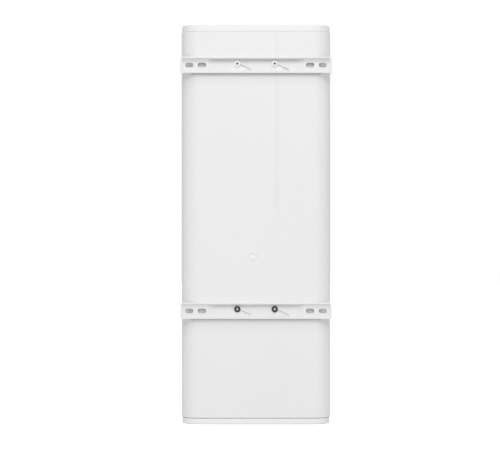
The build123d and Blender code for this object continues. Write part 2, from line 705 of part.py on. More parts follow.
# ---------------------------------------------------------------------- filters
def filter_frame():
    """A pull-out cassette: an open frame with a front plate and a grip bar."""
    back, plate_y = 25.0, PANEL_FACE_Y - 5.0
    x, dz = FILTER_X, FILTER_DZ
    centre = Pos((x[0] + x[1]) / 2, (dz[0] + dz[1]) / 2)
    inner_dz = (dz[0] - 1, dz[1] + 1)
    body = filter_slot(0, (back, plate_y))
    body -= span((x[0] + 2, x[1] - 2), (back + 2, 108.0), inner_dz)
    body -= span((x[0] + 2, x[1] - 2), (110.0, plate_y + 1), (dz[0] + 2, dz[1] - 2))
    face = RectangleRounded(x[1] - x[0], dz[1] - dz[0], 2.0)
    body += slab(centre * face, (plate_y, PANEL_FACE_Y))
    bar = centre * RectangleRounded(44.0, 5.0, 2.4)
    grip = slab(bar, (PANEL_FACE_Y - 1, PANEL_FACE_Y + 7))
    grip = fillet(grip.edges().group_by(Axis.Y)[-1], 1.5)
    ledge = span((x[0] + 1.8, x[1] - 1.8), (back + 1, 109), (dz[0] + 1, dz[0] + 2))
    ledge -= span((x[0] + 5, x[1] - 5), (back + 5, 105), inner_dz)
    return body + grip + ledge


def filter_media():
    """Pleated filter paper: a zigzag sheet folded along the cassette."""
    low, high = FILTER_DZ[0] + 3.0, FILTER_DZ[1] - 2.0
    first, last = 28.0, 107.0
    pleats = 10
    step = (last - first) / (2 * pleats)
    sheet = 1.0
    levels = (low, high - sheet)
    lower = [(first + i * step, levels[i % 2]) for i in range(2 * pleats + 1)]
    upper = [(y, dz + sheet) for y, dz in reversed(lower)]
    width = FILTER_X[1] - FILTER_X[0] - 4.4
    return Pos(FILTER_X[0] + 2.2, 0, 0) * extrude(Plane.YZ * polygon(lower + upper), width)


def filter_seal():
    """A foam frame round the air window, on the shelf under the cassette."""
    low = FILTER_DZ[0] - FILTER_GAP
    ring = span((FILTER_X[0] + 1, FILTER_X[1] - 1), (27, 109), (low - 1.5, low))
    ring -= span((FILTER_X[0] + 4, FILTER_X[1] - 4), (30, 106), (low - 2, low + 1))
    return ring


# ------------------------------------------------------------- panel and control
TRAY_HALF = (58.0, 62.0)
TRAY_Y = (120.2, 131.0)
BOARD_Y = (TRAY_Y[0] + 4.5, TRAY_Y[0] + 6.1)
BEZEL_SIZE = (92.0, 34.0)
BEZEL_THICKNESS = 1.5


def front_panel():
    """A shallow fascia over the casing's service opening."""
    size = (2 * PANEL_HALF_WIDTH, 2 * PANEL_HALF_HEIGHT)
    block = slab(RectangleRounded(*size, 9.0), (FRONT_Y + 0.2, PANEL_FACE_Y))
    block = fillet(block.edges().group_by(Axis.Y)[-1], 2.5)
    room = RectangleRounded(size[0] - 2 * PANEL_WALL, size[1] - 2 * PANEL_WALL, 6.0)
    body = block - slab(room, (FRONT_Y - 1, PANEL_BACK_Y))
    for x, dz in panel_screw_places():
        body += level(4.5, x, dz, (FRONT_Y + 0.2, PANEL_FACE_Y - 1))
        body -= level(1.9, x, dz, (FRONT_Y, PANEL_FACE_Y + 1))
        body -= level(3.6, x, dz, (PANEL_FACE_Y - 2.2, PANEL_FACE_Y + 1))
    body -= both_ends(filter_slot(0.6, (FRONT_Y, PANEL_FACE_Y + 1)))
    bezel = RectangleRounded(BEZEL_SIZE[0] + 0.4, BEZEL_SIZE[1] + 0.4, 6.2)
    body -= slab(bezel, (PANEL_FACE_Y - BEZEL_THICKNESS, PANEL_FACE_Y + 1))
    for x in BUTTON_XS:
        body -= level(BUTTON_R + 0.5, x, BUTTON_DZ, (FRONT_Y, PANEL_FACE_Y + 1))
    return body - level(1.7, 0, LIGHT_DZ, (FRONT_Y, PANEL_FACE_Y + 1))


def panel_screws():
    """Four pan-head screws, sunk in pockets in the panel's face."""
    screws = []
    hexagon = RegularPolygon(1.25, 6, major_radius=False)
    for x, dz in panel_screw_places():
        head = level(3.4, x, dz, (PANEL_FACE_Y - 2.2, PANEL_FACE_Y - 0.3))
        socket = slab(Pos(x, dz) * hexagon, (PANEL_FACE_Y - 1.3, PANEL_FACE_Y + 1))
        shank = level(PANEL_SCREW_R, x, dz, (INNER_FRONT_Y - 1, PANEL_FACE_Y - 2))
        screws.append(head - socket + shank)
    return group(screws)


def control_bezel():
    """The glossy strip round the buttons, set flush in the panel."""
    outline = RectangleRounded(*BEZEL_SIZE, 6.0)
    body = slab(outline, (PANEL_FACE_Y - BEZEL_THICKNESS, PANEL_FACE_Y))
    through = (PANEL_FACE_Y - 3, PANEL_FACE_Y + 1)
    for x in BUTTON_XS:
        body -= level(BUTTON_R + 0.35, x, BUTTON_DZ, through)
    return body - level(1.65, 0, LIGHT_DZ, through)


def status_light_pipe():
    """A clear rod from the indicator on the board to the bezel."""
    rod = level(1.6, 0, LIGHT_DZ, (BOARD_Y[1] + 1.9, PANEL_FACE_Y + 0.3))
    return rod + level(3.0, 0, LIGHT_DZ, (PANEL_BACK_Y - 1.2, PANEL_BACK_Y))


def button(x):
    """A push button: cap, retaining flange behind the panel and a plunger."""
    cap = level(BUTTON_R, x, BUTTON_DZ, (PANEL_BACK_Y - 1, PANEL_FACE_Y + 1.6))
    cap = fillet(cap.edges().group_by(Axis.Y)[-1], 0.8)
    flange = level(BUTTON_R + 1.4, x, BUTTON_DZ, (PANEL_BACK_Y - 1.1, PANEL_BACK_Y - 0.1))
    plunger = level(1.8, x, BUTTON_DZ, (BOARD_Y[1] + 2.6, PANEL_BACK_Y))
    return cap + flange + plunger


def electronics_tray():
    """A shallow tray on the front liner that carries the circuit board."""
    half_x, half_dz = TRAY_HALF
    body = slab(RectangleRounded(2 * half_x, 2 * half_dz, 4.0), TRAY_Y)
    inside = RectangleRounded(2 * half_x - 4, 2 * half_dz - 4, 2.5)
    body -= slab(inside, (TRAY_Y[0] + 2, TRAY_Y[1] + 1))
    for x, dz in tray_posts():
        body += level(3.5, x, dz, (TRAY_Y[0] + 1, TRAY_Y[0] + 4.5))
        body -= level(1.3, x, dz, (TRAY_Y[0] - 1, TRAY_Y[0] + 6))
    return body - span((-6, 6), (TRAY_Y[0] + 2, TRAY_Y[1] + 1), (-half_dz - 1, -half_dz + 4))


def tray_posts():
    return [(x, dz) for x in (-50, 50) for dz in (-54, 54)]


def control_board():
    half_x, half_dz = TRAY_HALF
    board = span((-half_x + 3, half_x - 3), BOARD_Y, (-half_dz + 3, half_dz - 3))
    for x, dz in tray_posts():
        board -= level(1.6, x, dz, (BOARD_Y[0] - 1, BOARD_Y[1] + 1))
    return board


def tray_screws():
    """Four small screws that hold the board to the tray's posts."""
    screws = []
    for x, dz in tray_posts():
        head = level(2.6, x, dz, (BOARD_Y[1], BOARD_Y[1] + 1.8))
        screws.append(head + level(1.3, x, dz, (TRAY_Y[0] + 0.5, BOARD_Y[1] + 0.5)))
    return group(screws)


def board_components():
    """Supply block, capacitors, relay, processor, plugs and tactile switches."""
    face = BOARD_Y[1]
    boxes = [
        ((-48, -22), 6.5, (20, 46)),
        ((28, 44), 6.5, (22, 40)),
        ((-8, 6), 1.2, (26, 40)),
        ((-46, -30), 5.0, (-32, -20)),
        ((28, 44), 5.0, (-32, -20)),
    ]
    parts = [span(x, (face, face + height), dz) for x, height, dz in boxes]
    for x in (12, 20):
        parts.append(level(3.4, x, 44, (face, face + 6.5)))
    for x in BUTTON_XS:
        base = span((x - 3, x + 3), (face, face + 1.0), (BUTTON_DZ - 3, BUTTON_DZ + 3))
        parts.append(base + level(1.6, x, BUTTON_DZ, (face + 0.5, face + 1.4)))
    parts.append(level(1.5, 0, LIGHT_DZ, (face, face + 1.6)))
    return group(parts)


def terminal_block():
    """A row of five screw terminals for the supply and signal wires."""
    face = BOARD_Y[1]
    body = span((-20, 20), (face, face + 7.0), (-54, -42))
    for number in range(5):
        x = -16 + 8 * number
        body -= level(2.2, x, -46.0, (face + 4.5, face + 8))
        body -= span((x - 2.6, x + 2.6), (face + 1.5, face + 5.5), (-55, -50))
    return body


def humidity_sensor():
    """A slotted probe in the extract chamber's rear wall."""
    x, dz = -54.0, -175.0
    back = CHAMBER_Y[0]
    body = level(4.0, x, dz, (back, back + 14))
    for shift in (-2.4, 0, 2.4):
        slit_dz = (dz + shift - 0.6, dz + shift + 0.6)
        body -= span((x - 6, x + 6), (back + 6, back + 12), slit_dz)
    return body


def cable_gland():
    """The body and dome nut of the cable gland, inside its pocket."""
    floor = -(CAP_TOP_DZ - POCKET_DEPTH)
    body = hex_bar(18.0, 0, GLAND_Y, (floor - 6, floor))
    body += upright(6.0, 0, GLAND_Y, (floor - 1, floor + 9))
    dome = upright(8.4, 0, GLAND_Y, (floor - 14, floor - 5.5))
    dome = fillet(dome.edges().group_by(Axis.Z)[0], 2.5)
    return body + dome - upright(3.6, 0, GLAND_Y, (floor - 15, floor + 10))


def gland_locknut():
    floor = -(CAP_TOP_DZ - POCKET_DEPTH)
    nut = hex_bar(18.0, 0, GLAND_Y, (floor + 3.05, floor + 7.5))
    return nut - upright(6.02, 0, GLAND_Y, (floor + 2, floor + 9))


# ------------------------------------------------------------------------ build
def fan_parts():
    return {
        "inlet_ring": inlet_ring(),
        "impeller": impeller(),
        "rotor_cup": rotor_cup(),
        "motor_shaft": motor_shaft(),
        "motor_stator": motor_stator(),
        "motor_bearings": motor_bearings(),
        "motor_bracket": motor_bracket(),
        "motor_screws": motor_screws(),
        "rubber_mounts": rubber_mounts(),
    }


def all_parts():
    bracket = wall_bracket()
    screws = bracket_screws()
    seals = duct_seals()
    lid_screws = cap_screws()
    parts = {
        "casing_tube": casing_tube(),
        "top_cap": top_cap(),
        "bottom_cap": bottom_cap(),
        "top_duct_seals": seals,
        "bottom_duct_seals": mirror(seals, Plane.XY),
        "top_cap_screws": lid_screws,
        "bottom_cap_screws": mirror(lid_screws, Plane.XY),
        "upper_wall_bracket": Pos(0, 0, BRACKET_DZS[0]) * bracket,
        "lower_wall_bracket": Pos(0, 0, BRACKET_DZS[1]) * bracket,
        "upper_bracket_screws": Pos(0, 0, BRACKET_DZS[0]) * screws,
        "lower_bracket_screws": Pos(0, 0, BRACKET_DZS[1]) * screws,
        "bracket_inserts": bracket_inserts(),
        "rear_blanking_plug": rear_blanking_plug(),
        "rear_liner": rear_liner(),
        "front_liner": front_liner(),
        "core_plates": core_plates(),
        "core_frame": core_frame(),
        "core_seals": core_seals(),
        "condensate_gutter": condensate_gutter(),
        "drain_tube": drain_tube(),
        "front_panel": front_panel(),
        "panel_screws": panel_screws(),
        "control_bezel": control_bezel(),
        "status_light_pipe": status_light_pipe(),
        "electronics_tray": electronics_tray(),
        "control_board": control_board(),
        "tray_screws": tray_screws(),
        "board_components": board_components(),
        "terminal_block": terminal_block(),
        "humidity_sensor": humidity_sensor(),
        "cable_gland": cable_gland(),
        "gland_locknut": gland_locknut(),
    }
    for name, shape in fan_parts().items():
        parts[f"exhaust_{name}"] = shape
        parts[f"supply_{name}"] = mirror(shape, Plane.XY)
    cassette = {"filter_frame": filter_frame(), "filter_media": filter_media()}
    cassette["filter_seal"] = filter_seal()
    for name, shape in cassette.items():
        parts[f"outdoor_{name}"] = shape
        parts[f"extract_{name}"] = mirror(shape, Plane.XY)
    for name, x in zip(("speed", "boost", "reset"), BUTTON_XS):
        parts[f"{name}_button"] = button(x)
    return parts


def main():
    os.makedirs("parts", exist_ok=True)
    for name, shape in all_parts().items():
        save(shape, name)


main()
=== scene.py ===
"""Looks for the wall-hung heat recovery unit, seen from its wall side."""

import json
import math

import bmesh
import bpy
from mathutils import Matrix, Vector


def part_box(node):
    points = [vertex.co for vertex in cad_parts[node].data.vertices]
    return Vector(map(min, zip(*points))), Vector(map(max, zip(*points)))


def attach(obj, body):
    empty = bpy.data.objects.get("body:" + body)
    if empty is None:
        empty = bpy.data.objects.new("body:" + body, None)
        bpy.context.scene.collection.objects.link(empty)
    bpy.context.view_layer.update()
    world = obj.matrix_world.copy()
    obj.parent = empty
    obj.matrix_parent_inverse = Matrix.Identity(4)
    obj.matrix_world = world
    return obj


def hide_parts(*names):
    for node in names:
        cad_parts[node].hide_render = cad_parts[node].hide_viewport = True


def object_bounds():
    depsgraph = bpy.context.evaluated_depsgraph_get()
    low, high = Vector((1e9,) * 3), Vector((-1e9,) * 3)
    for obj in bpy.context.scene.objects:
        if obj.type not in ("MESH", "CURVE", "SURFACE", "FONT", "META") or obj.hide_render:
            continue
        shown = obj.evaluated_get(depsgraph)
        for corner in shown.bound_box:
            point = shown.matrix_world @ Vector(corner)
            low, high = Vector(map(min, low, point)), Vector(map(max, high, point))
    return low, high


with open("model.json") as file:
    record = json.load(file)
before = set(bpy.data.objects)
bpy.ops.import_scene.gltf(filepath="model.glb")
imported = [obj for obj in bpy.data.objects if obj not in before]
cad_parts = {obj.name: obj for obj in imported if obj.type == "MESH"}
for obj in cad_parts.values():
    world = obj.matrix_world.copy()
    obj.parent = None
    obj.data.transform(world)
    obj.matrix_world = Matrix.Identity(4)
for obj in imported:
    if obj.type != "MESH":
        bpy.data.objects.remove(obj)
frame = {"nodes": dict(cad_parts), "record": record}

CAD_BOX = [list(corner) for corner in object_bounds()]
MM = 0.001

CAMERA_DISTANCE = 2.6  # from the casing's rear face
VIEW_WIDTH = 0.75  # metres across the picture at the casing's rear face
VIEW_SHIFT = (-9.0 * MM, -0.4 * MM)  # where the camera aims, from the middle

# World and floor brightness as light on the unit; the camera sees both as white.
SKY_AHEAD = 0.72
SKY_SIDES = 0.45
FLOOR_GLOW = 0.28
FLOOR_HALF_SIZE = 6.0
FLOOR_GAP = 0.5 * MM

# Lamps: azimuth and elevation in degrees, distance, size in metres, power in watts.
LAMPS = {
    "low": (0, 22, 5.0, (2.0, 0.8), 10),
    "key": (0, 32, 5.0, (2.0, 0.8), 47.5),
    "high": (0, 45, 5.0, (2.0, 0.8), 24),
    "top": (0, 62, 5.0, (2.0, 0.8), 25),
    "room_left": (150, 30, 4.0, (2.0, 1.6), 30),
    "room_right": (215, 35, 4.0, (2.0, 1.6), 12),
}

# Faint moulded flow lines down the casing's rear face, above FLOW_END; their darkness is painted shade.
FLOW_LINE_XS = (29.0 * MM, 33.4 * MM)
FLOW_LINE_HALF = 0.9 * MM
FLOW_END = -55.0 * MM
FLOW_FADE = 30.0 * MM
FLOW_LINE_SHADE_TONE = 0.78
# The casing's painted shade lines (flow lines and contact shadow) fade in between these depths.
REAR_SIDE = (12.0 * MM, 10.0 * MM)  # casing finish marks fade in between these

BRACKETS = ("upper_wall_bracket", "lower_wall_bracket")
BRACKET_SCREWS = ("upper_bracket_screws", "lower_bracket_screws")

# Painted shade bands: a contact shadow on the casing below each bracket, and a recess shadow at the root
# of a bracket's top rim.
CONTACT_SHADE_HALF = 3.0 * MM
CONTACT_SHADE_TONE = 0.46
ROOT_SHADE_DROP = 5.4 * MM  # below the bracket's upper edge
ROOT_SHADE_HALF = 4.8 * MM
ROOT_SHADE_DEPTHS = (0.2 * MM, 2.0 * MM)  # root bands fade in between these depths
ROOT_SHADE_TONES = (0.58, 0.72)  # upper bracket, lower bracket

# Painted shade along the edge of the gusset pocket beside each bracket screw.
CREASE_START = Vector((5.0, 0, -1.4)) * MM  # from the screw's axis
CREASE_SLOPE = math.radians(23.6)
CREASE_LENGTH = 16.5 * MM
CREASE_SHADE_HALF = 0.9 * MM
CREASE_SHADE_TONE = 0.63

SCREW_X = 28.0 * MM
SCREW_HEAD_R = 4.9 * MM


# ------------------------------------------------------------------ node helpers
class Shader:
    """A material under construction: makes nodes and joins them."""

    def __init__(self, name, roughness=0.45, metallic=0.0, **inputs):
        self.material = bpy.data.materials.new(name)
        self.material.use_nodes = True
        self.nodes = self.material.node_tree.nodes
        self.links = self.material.node_tree.links
        self.surface = self.nodes["Principled BSDF"]
        self.surface.inputs["Roughness"].default_value = roughness
        self.surface.inputs["Metallic"].default_value = metallic
        for key, value in inputs.items():
            self.surface.inputs[key.replace("_", " ")].default_value = value
        self.place = self.add("ShaderNodeTexCoord").outputs["Object"]
        self.height = None

    @classmethod
    def of(cls, material):
        """The helper for a material that is made already."""
        m = cls.__new__(cls)
        m.material = material
        m.nodes = material.node_tree.nodes
        m.links = material.node_tree.links
        m.surface = m.nodes["Principled BSDF"]
        m.place = m.add("ShaderNodeTexCoord").outputs["Object"]
        m.height = None
        return m

    def add(self, kind, **values):
        node = self.nodes.new(kind)
        for key, value in values.items():
            if hasattr(node, key):
                setattr(node, key, value)
            else:
                node.inputs[key.replace("_", " ")].default_value = value
        return node

    def join(self, source, target):
        self.links.new(source, target)

    def math(self, operation, *values):
        """The result of an operation on sockets or numbers."""
        node = self.add("ShaderNodeMath", operation=operation)
        for socket, value in zip(node.inputs, values):
            if isinstance(value, bpy.types.NodeSocket):
                self.join(value, socket)
            else:
                socket.default_value = value
        return node.outputs[0]

    def share(self, source, start, end):
        """0 to 1 as the source goes from start to end."""
        spread = self.add("ShaderNodeMapRange")
        spread.inputs["From Min"].default_value = start
        spread.inputs["From Max"].default_value = end
        self.join(source, spread.inputs["Value"])
        return spread.outputs["Result"]

    def stretched(self, scale):
        """The object's coordinates, scaled along each axis."""
        mapping = self.add("ShaderNodeMapping")
        mapping.inputs["Scale"].default_value = scale
        self.join(self.place, mapping.inputs["Vector"])
        return mapping.outputs["Vector"]

    def noise(self, scale, detail=3.0, roughness=0.5, stretch=(1, 1, 1)):
        node = self.add("ShaderNodeTexNoise", Scale=scale, Detail=detail, Roughness=roughness)
        self.join(self.stretched(stretch), node.inputs["Vector"])
        return node.outputs["Fac"]

    def ramp(self, source, low, high, start=0.3, end=0.7):
        """Colours (or greys) from low to high as the source goes from start to end."""
        node = self.add("ShaderNodeValToRGB")
        first, last = node.color_ramp.elements
        first.position, last.position = start, end
        first.color, last.color = as_colour(low), as_colour(high)
        self.join(source, node.inputs["Fac"])
        return node.outputs["Color"]

    def mix(self, factor, first, second, blend="MIX"):
        node = self.add("ShaderNodeMix", data_type="RGBA", blend_type=blend)
        for socket, value in ((node.inputs[0], factor), (node.inputs[6], first), (node.inputs[7], second)):
            if isinstance(value, bpy.types.NodeSocket):
                self.join(value, socket)
            elif socket == node.inputs[0]:
                socket.default_value = value
            else:
                socket.default_value = as_colour(value)
        return node.outputs[2]

    def colour(self, source):
        self.join(source, self.surface.inputs["Base Color"])

    def rough(self, source, low, high):
        spread = self.add("ShaderNodeMapRange")
        spread.inputs["To Min"].default_value = low
        spread.inputs["To Max"].default_value = high
        self.join(source, spread.inputs["Value"])
        self.join(spread.outputs["Result"], self.surface.inputs["Roughness"])

    def bump(self, source, depth_mm, strength=1.0):
        """Relief on the surface, stacked on any relief added before."""
        node = self.add("ShaderNodeBump", Distance=depth_mm * MM, Strength=strength)
        self.join(source, node.inputs["Height"])
        if self.height is not None:
            self.join(self.height, node.inputs["Normal"])
        self.height = node.outputs["Normal"]
        self.join(self.height, self.surface.inputs["Normal"])


    def soft_lines(self, source, places, half_width, tone, where):
        """Blend the colour to a tone where the source is near one of the places."""
        colour = self.surface.inputs["Base Color"].links[0].from_socket
        for place in places:
            aside = self.math("ABSOLUTE", self.math("SUBTRACT", source, place))
            line = self.share(aside, half_width, 0.0)
            colour = self.mix(self.math("MULTIPLY", line, where), colour, tone)
        self.colour(colour)


def as_colour(value):
    """A grey number or an RGB triple as RGBA."""
    if isinstance(value, (int, float)):
        return (value, value, value, 1.0)
    return (*value[:3], 1.0)


# --------------------------------------------------------------------- materials
def white_plastic(name, tone, shift=0.0, grain=0.02, gloss=0.42):
    """Satin moulded plastic: slight cloudiness, flow streaks and fine orange peel."""
    m = Shader(name, roughness=gloss, IOR=1.49)
    cloud = m.noise(9.0 + shift, detail=4, stretch=(1, 1, 0.35))
    streak = m.noise(60.0 + shift, detail=2, stretch=(1, 1, 0.02))
    dark = tuple(0.985 * c for c in tone)
    m.colour(m.ramp(cloud, dark, tone, 0.35, 0.65))
    m.rough(m.noise(140.0, detail=2), gloss - 0.05, gloss + 0.06)
    m.bump(m.noise(900.0, detail=2), grain)
    m.bump(streak, 0.05, 0.5)
    return m.material


def casing_white(name):
    """The casing's plastic, with painted shade along two faint flow lines down its upper rear half and a
    painted contact shadow below each bracket.
    """
    material = white_plastic(name, (0.86, 0.86, 0.86))
    m = Shader.of(material)
    parts = m.add("ShaderNodeSeparateXYZ")
    m.join(m.place, parts.inputs[0])
    rear = m.share(parts.outputs["Y"], *REAR_SIDE)
    above = m.share(parts.outputs["Z"], FLOW_END, FLOW_END + FLOW_FADE)
    upper = m.math("MULTIPLY", rear, above)
    # Painted shade along the flow lines.
    m.soft_lines(parts.outputs["X"], FLOW_LINE_XS, FLOW_LINE_HALF, FLOW_LINE_SHADE_TONE, upper)
    # Painted contact shadow on the casing just below each bracket's lower edge.
    edges = [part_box(node)[0].z for node in BRACKETS]
    m.soft_lines(parts.outputs["Z"], edges, CONTACT_SHADE_HALF, CONTACT_SHADE_TONE, rear)
    return material


def bracket_white(name):
    """The brackets' plastic, with a painted shadow where the top rim meets the web and painted shade along
    each gusset pocket's edge.
    """
    material = white_plastic(name, (0.85, 0.85, 0.85), 5.0)
    m = Shader.of(material)
    parts = m.add("ShaderNodeSeparateXYZ")
    m.join(m.place, parts.inputs[0])
    # Painted recess shadow under each bracket's top rim, fading in with depth.
    root_shade_mask = m.share(parts.outputs["Y"], *ROOT_SHADE_DEPTHS)
    for node, tone in zip(BRACKETS, ROOT_SHADE_TONES):
        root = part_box(node)[1].z - ROOT_SHADE_DROP
        m.soft_lines(parts.outputs["Z"], (root,), ROOT_SHADE_HALF, tone, root_shade_mask)
    # Painted shade along each gusset pocket's edge.
    for node in BRACKET_SCREWS:
        low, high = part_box(node)
        for x in (-SCREW_X, SCREW_X):
            crease_shade_line(m, Vector((x, 0, (low.z + high.z) / 2)) + CREASE_START)
    return material


def crease_shade_line(m, start):
    """Paint shade on a short line that slopes down to the right from its start."""
    local = m.add("ShaderNodeMapping", vector_type="TEXTURE")
    local.inputs["Location"].default_value = start
    local.inputs["Rotation"].default_value = (0, CREASE_SLOPE, 0)
    m.join(m.place, local.inputs["Vector"])
    parts = m.add("ShaderNodeSeparateXYZ")
    m.join(local.outputs["Vector"], parts.inputs[0])
    begun = m.share(parts.outputs["X"], -CREASE_SHADE_HALF, 0.0)
    ended = m.share(parts.outputs["X"], CREASE_LENGTH + CREASE_SHADE_HALF, CREASE_LENGTH)
    where = m.math("MULTIPLY", begun, ended)
    m.soft_lines(parts.outputs["Z"], (0.0,), CREASE_SHADE_HALF, CREASE_SHADE_TONE, where)


def plain(name, tone, rough, metallic=0.0, scale=400.0, grain=0.02, vary=0.12, stretch=(1, 1, 1)):
    """A general finish with noise in its colour, gloss and relief."""
    m = Shader(name, roughness=rough, metallic=metallic)
    grains = m.noise(scale, detail=4, stretch=stretch)
    dark = tuple(c * (1 - vary) for c in tone)
    m.colour(m.ramp(grains, dark, tone))
    m.rough(grains, max(rough - 0.08, 0.03), min(rough + 0.08, 1.0))
    m.bump(grains, grain)
    return m.material


def foam_beads(name):
    """Expanded bead foam: pressed polygonal beads with dark joints."""
    m = Shader(name, roughness=0.9)
    cells = m.add("ShaderNodeTexVoronoi", Scale=330.0, feature="DISTANCE_TO_EDGE")
    m.join(m.place, cells.inputs["Vector"])
    tint = m.add("ShaderNodeTexVoronoi", Scale=330.0)
    m.join(m.place, tint.inputs["Vector"])
    shade = m.ramp(tint.outputs["Color"], 0.045, 0.075)
    joint = m.ramp(cells.outputs["Distance"], 0.02, 1.0, 0.0, 0.12)
    m.colour(m.mix(1.0, shade, joint, "MULTIPLY"))
    m.bump(cells.outputs["Distance"], 0.4)
    return m.material


def circuit_board(name):
    """Green laminate with faint tracks under the lacquer."""
    m = Shader(name, roughness=0.3)
    bricks = m.add("ShaderNodeTexBrick", Scale=260.0)
    bricks.inputs["Color1"].default_value = as_colour((0.015, 0.10, 0.035))
    bricks.inputs["Color2"].default_value = as_colour((0.02, 0.14, 0.05))
    bricks.inputs["Mortar"].default_value = as_colour((0.04, 0.22, 0.09))
    m.join(m.place, bricks.inputs["Vector"])
    m.colour(bricks.outputs["Color"])
    m.bump(bricks.outputs["Fac"], 0.03)
    return m.material


def screw_painted_rings(name, node, tones, roughness, metallic):
    """A screw material with painted highlight and reflection rings: its tone changes from the recess out
    to the head's edge.
    """
    m = Shader(name, roughness, metallic)
    low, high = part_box(node)
    parts = m.add("ShaderNodeSeparateXYZ")
    m.join(m.place, parts.inputs[0])
    away = m.add("ShaderNodeCombineXYZ")
    m.join(m.math("ABSOLUTE", parts.outputs["X"]), away.inputs["X"])
    m.join(parts.outputs["Z"], away.inputs["Z"])
    distance = m.add("ShaderNodeVectorMath", operation="DISTANCE")
    m.join(away.outputs[0], distance.inputs[0])
    distance.inputs[1].default_value = (SCREW_X, 0, (low.z + high.z) / 2)
    ramp = m.add("ShaderNodeValToRGB")
    m.join(m.math("DIVIDE", distance.outputs["Value"], SCREW_HEAD_R), ramp.inputs["Fac"])
    stops = ramp.color_ramp.elements
    while len(stops) < len(tones):
        stops.new(0.5)
    for stop, (position, tone) in zip(stops, tones):
        stop.position = position
        stop.color = as_colour(tone)
    wear = m.ramp(m.noise(1500.0), 0.9, 1.0)
    m.colour(m.mix(1.0, ramp.outputs["Color"], wear, "MULTIPLY"))
    m.bump(m.noise(2500.0), 0.004)
    return m.material


def make_materials():
    return {
        # Upper screws: a painted highlight ring round a painted dark recess.
        "screw_painted_highlight": screw_painted_rings(
            "screw_painted_highlight",
            "upper_bracket_screws",
            [(0.2, 0.16), (0.36, 0.5), (0.44, 1.0), (0.92, 1.0), (1.0, 0.9)],
            roughness=0.3,
            metallic=0.0,
        ),
        # Lower screws, the same as the upper ones: a painted dark reflection round a light centre.
        "screw_zinc": screw_painted_rings(
            "screw_zinc",
            "lower_bracket_screws",
            [(0.18, 0.95), (0.34, 0.12), (0.8, 0.07), (1.0, 0.3)],
            roughness=0.22,
            metallic=1.0,
        ),
        "casing_white": casing_white("casing_white"),
        "cap_white": white_plastic("cap_white", (0.89, 0.89, 0.89), 2.0),
        "bracket_white": bracket_white("bracket_white"),
        "plug_white": white_plastic("plug_white", (0.87, 0.87, 0.87), 7.0),
        "panel_white": white_plastic("panel_white", (0.87, 0.87, 0.87), 3.0),
        "button_grey": plain("button_grey", (0.42, 0.43, 0.44), 0.4),
        "bezel_black": plain("bezel_black", (0.012, 0.012, 0.014), 0.1, scale=60, grain=0.002),
        "light_clear": plain("light_clear", (0.55, 0.75, 0.6), 0.15, grain=0.002),
        "screw_steel": plain("screw_steel", (0.78, 0.78, 0.79), 0.2, 1.0, 900, 0.006, 0.1),
        "insert_brass": plain("insert_brass", (0.72, 0.5, 0.2), 0.3, 1.0, 900, 0.01),
        "seal_rubber": plain("seal_rubber", (0.02, 0.02, 0.02), 0.6, vary=0.3),
        "foam_grey": foam_beads("foam_grey"),
        "seal_foam": plain("seal_foam", (0.03, 0.03, 0.03), 0.95, scale=1500, grain=0.2, vary=0.5),
        "core_plate": plain("core_plate", (0.72, 0.78, 0.8), 0.25, grain=0.01),
        "core_aluminium": plain(
            "core_aluminium", (0.8, 0.8, 0.81), 0.35, 1.0, 300, 0.01, stretch=(1, 1, 0.05)
        ),
        "moulding_grey": plain("moulding_grey", (0.09, 0.095, 0.1), 0.5),
        "tube_clear": plain("tube_clear", (0.62, 0.62, 0.6), 0.3),
        "media_white": plain("media_white", (0.8, 0.8, 0.76), 0.9, scale=1200, grain=0.1),
        "board_green": circuit_board("board_green"),
        "component_black": plain("component_black", (0.02, 0.02, 0.02), 0.5),
        "terminal_green": plain("terminal_green", (0.03, 0.2, 0.06), 0.45),
        "gland_grey": plain("gland_grey", (0.25, 0.26, 0.27), 0.5),
        "impeller_black": plain("impeller_black", (0.02, 0.02, 0.022), 0.4),
        "rotor_steel": plain("rotor_steel", (0.6, 0.6, 0.62), 0.3, 1.0, 500, 0.01),
        "bearing_steel": plain("bearing_steel", (0.75, 0.75, 0.76), 0.2, 1.0, 900, 0.004),
        "stator_copper": plain("stator_copper", (0.6, 0.25, 0.1), 0.35, 1.0, 1200, 0.1),
        "mount_rubber": plain("mount_rubber", (0.025, 0.025, 0.025), 0.7, vary=0.3),
    }


# --------------------------------------------------------------------- mesh pieces
# Pan head with a six-lobed recess: radius, height over the seat, lobe height (mm).
HEAD_RINGS = (
    (2.0, -11.0, 0.0),
    (2.0, 0.0, 0.0),
    (4.9, 0.0, 0.0),
    (4.9, 0.5, 0.0),
    (4.72, 1.3, 0.0),
    (4.25, 2.05, 0.0),
    (3.6, 2.62, 0.0),
    (2.95, 2.9, 0.0),
    (2.6, 2.98, 0.0),
    (2.1, 2.95, 0.28),
    (2.05, 1.2, 0.28),
)
HEAD_FLOOR = 0.9
HEAD_HEIGHT = 3.0
HEAD_SEGMENTS = 72


def lobed_ring(bm, seat, radius, height, lobe):
    """A ring of points round an axis along Y, waved six times round."""
    ring = []
    for number in range(HEAD_SEGMENTS):
        turn = 2 * math.pi * number / HEAD_SEGMENTS
        reach = (radius + lobe * math.cos(6 * turn)) * MM
        offset = Vector((reach * math.cos(turn), -height * MM, reach * math.sin(turn)))
        ring.append(bm.verts.new(seat + offset))
    return ring


def bridge(bm, first, second):
    """Four-sided faces between two rings with the same number of points."""
    count = len(first)
    for number in range(count):
        after = (number + 1) % count
        bm.faces.new((first[number], first[after], second[after], second[number]))


